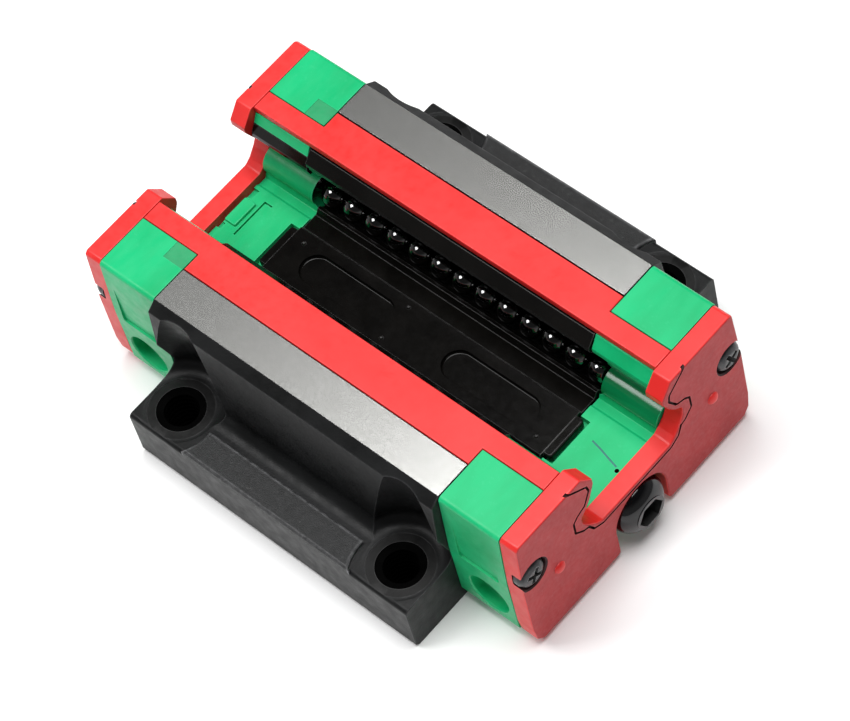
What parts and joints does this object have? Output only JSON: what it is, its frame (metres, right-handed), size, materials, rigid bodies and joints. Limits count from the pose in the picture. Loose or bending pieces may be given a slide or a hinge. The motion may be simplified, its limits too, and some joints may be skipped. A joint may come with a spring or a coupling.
{
  "type": "linear guide carriage",
  "caption": "Flanged ball-type linear guide carriage with a steel block, green end caps, red wiper seals and recirculating ball rows, for a profiled rail.",
  "frame": {"origin": "centre of the mounting face, on the plane that bolts to the table", "axes": "+X along the travel, towards the end with the button-head screw in its lubrication port; +Y across the carriage; +Z from the mounting face to the open side that takes the rail"},
  "size_m": [0.0787, 0.063, 0.0254],
  "materials": {
    "block_steel": "black oxide over forged steel, ground bright on the strips beside the seals",
    "cap_plastic": "satin moulded green plastic",
    "guide_plastic": "satin moulded green plastic",
    "seal_rubber": "satin red moulded rubber",
    "retainer_plastic": "semi-gloss black plastic",
    "ball_steel": "polished bearing steel",
    "black_screw": "glossy black oxide",
    "plated_steel": "zinc plated"
  },
  "bodies": {
    "carriage": {"carriage_block": "block_steel", "end_cap_far": "cap_plastic", "end_seal_far": "seal_rubber", "return_guide_far_left": "guide_plastic", "end_screw_far_left": "black_screw", "return_guide_far_right": "guide_plastic", "end_screw_far_right": "black_screw", "end_cap_near": "cap_plastic", "end_seal_near": "seal_rubber", "return_guide_near_left": "guide_plastic", "end_screw_near_left": "black_screw", "return_guide_near_right": "guide_plastic", "end_screw_near_right": "black_screw", "bottom_seal_left": "seal_rubber", "side_retainer_left": "retainer_plastic", "bottom_seal_right": "seal_rubber", "side_retainer_right": "retainer_plastic", "centre_retainer": "retainer_plastic", "port_screw": "black_screw", "port_washer": "plated_steel", "port_plug": "plated_steel"},
    "loaded_row_a_left": {"loaded_balls_a_left": "ball_steel"},
    "return_row_a_left": {"return_balls_a_left": "ball_steel"},
    "turn_a_left_far": {"turn_balls_a_left_far": "ball_steel"},
    "turn_a_left_near": {"turn_balls_a_left_near": "ball_steel"},
    "loaded_row_b_left": {"loaded_balls_b_left": "ball_steel"},
    "return_row_b_left": {"return_balls_b_left": "ball_steel"},
    "turn_b_left_far": {"turn_balls_b_left_far": "ball_steel"},
    "turn_b_left_near": {"turn_balls_b_left_near": "ball_steel"},
    "loaded_row_a_right": {"loaded_balls_a_right": "ball_steel"},
    "return_row_a_right": {"return_balls_a_right": "ball_steel"},
    "turn_a_right_far": {"turn_balls_a_right_far": "ball_steel"},
    "turn_a_right_near": {"turn_balls_a_right_near": "ball_steel"},
    "loaded_row_b_right": {"loaded_balls_b_right": "ball_steel"},
    "return_row_b_right": {"return_balls_b_right": "ball_steel"},
    "turn_b_right_far": {"turn_balls_b_right_far": "ball_steel"},
    "turn_b_right_near": {"turn_balls_b_right_near": "ball_steel"}
  },
  "joints": [
    {"name": "loaded_row_a_left_slide", "type": "slide", "parent": "carriage", "child": "loaded_row_a_left", "axis": [1, 0, 0], "range_m": [-0.00198, 0.00198]},
    {"name": "return_row_a_left_slide", "type": "slide", "parent": "carriage", "child": "return_row_a_left", "axis": [1, 0, 0], "range_m": [-0.002, 0.002]},
    {"name": "turn_a_left_far_hinge", "type": "hinge", "parent": "carriage", "child": "turn_a_left_far", "pos_m": [-0.0263, -0.01342, 0.0128], "axis": [0, 0, 1], "range_deg": [-36, 36]},
    {"name": "turn_a_left_near_hinge", "type": "hinge", "parent": "carriage", "child": "turn_a_left_near", "pos_m": [0.0263, -0.01342, 0.0128], "axis": [0, 0, 1], "range_deg": [-36, 36]},
    {"name": "loaded_row_b_left_slide", "type": "slide", "parent": "carriage", "child": "loaded_row_b_left", "axis": [1, 0, 0], "range_m": [-0.00198, 0.00198]},
    {"name": "return_row_b_left_slide", "type": "slide", "parent": "carriage", "child": "return_row_b_left", "axis": [1, 0, 0], "range_m": [-0.002, 0.002]},
    {"name": "turn_b_left_far_hinge", "type": "hinge", "parent": "carriage", "child": "turn_b_left_far", "pos_m": [-0.0263, -0.01342, 0.0207], "axis": [0, 0, 1], "range_deg": [-36, 36]},
    {"name": "turn_b_left_near_hinge", "type": "hinge", "parent": "carriage", "child": "turn_b_left_near", "pos_m": [0.0263, -0.01342, 0.0207], "axis": [0, 0, 1], "range_deg": [-36, 36]},
    {"name": "loaded_row_a_right_slide", "type": "slide", "parent": "carriage", "child": "loaded_row_a_right", "axis": [1, 0, 0], "range_m": [-0.00198, 0.00198]},
    {"name": "return_row_a_right_slide", "type": "slide", "parent": "carriage", "child": "return_row_a_right", "axis": [1, 0, 0], "range_m": [-0.002, 0.002]},
    {"name": "turn_a_right_far_hinge", "type": "hinge", "parent": "carriage", "child": "turn_a_right_far", "pos_m": [-0.0263, 0.01342, 0.0128], "axis": [0, 0, 1], "range_deg": [-36, 36]},
    {"name": "turn_a_right_near_hinge", "type": "hinge", "parent": "carriage", "child": "turn_a_right_near", "pos_m": [0.0263, 0.01342, 0.0128], "axis": [0, 0, 1], "range_deg": [-36, 36]},
    {"name": "loaded_row_b_right_slide", "type": "slide", "parent": "carriage", "child": "loaded_row_b_right", "axis": [1, 0, 0], "range_m": [-0.00198, 0.00198]},
    {"name": "return_row_b_right_slide", "type": "slide", "parent": "carriage", "child": "return_row_b_right", "axis": [1, 0, 0], "range_m": [-0.002, 0.002]},
    {"name": "turn_b_right_far_hinge", "type": "hinge", "parent": "carriage", "child": "turn_b_right_far", "pos_m": [-0.0263, 0.01342, 0.0207], "axis": [0, 0, 1], "range_deg": [-36, 36]},
    {"name": "turn_b_right_near_hinge", "type": "hinge", "parent": "carriage", "child": "turn_b_right_near", "pos_m": [0.0263, 0.01342, 0.0207], "axis": [0, 0, 1], "range_deg": [-36, 36]}
  ],
  "couplings": [
    {"joint": "return_row_a_left_slide", "follows": "loaded_row_a_left_slide", "ratio": -1},
    {"joint": "turn_a_left_far_hinge", "follows": "loaded_row_a_left_slide", "rad_per_m": -314.96},
    {"joint": "turn_a_left_near_hinge", "follows": "loaded_row_a_left_slide", "rad_per_m": -314.96},
    {"joint": "return_row_b_left_slide", "follows": "loaded_row_b_left_slide", "ratio": -1},
    {"joint": "turn_b_left_far_hinge", "follows": "loaded_row_b_left_slide", "rad_per_m": -314.96},
    {"joint": "turn_b_left_near_hinge", "follows": "loaded_row_b_left_slide", "rad_per_m": -314.96},
    {"joint": "return_row_a_right_slide", "follows": "loaded_row_a_right_slide", "ratio": -1},
    {"joint": "turn_a_right_far_hinge", "follows": "loaded_row_a_right_slide", "rad_per_m": 314.96},
    {"joint": "turn_a_right_near_hinge", "follows": "loaded_row_a_right_slide", "rad_per_m": 314.96},
    {"joint": "return_row_b_right_slide", "follows": "loaded_row_b_right_slide", "ratio": -1},
    {"joint": "turn_b_right_far_hinge", "follows": "loaded_row_b_right_slide", "rad_per_m": 314.96},
    {"joint": "turn_b_right_near_hinge", "follows": "loaded_row_b_right_slide", "rad_per_m": 314.96}
  ]
}
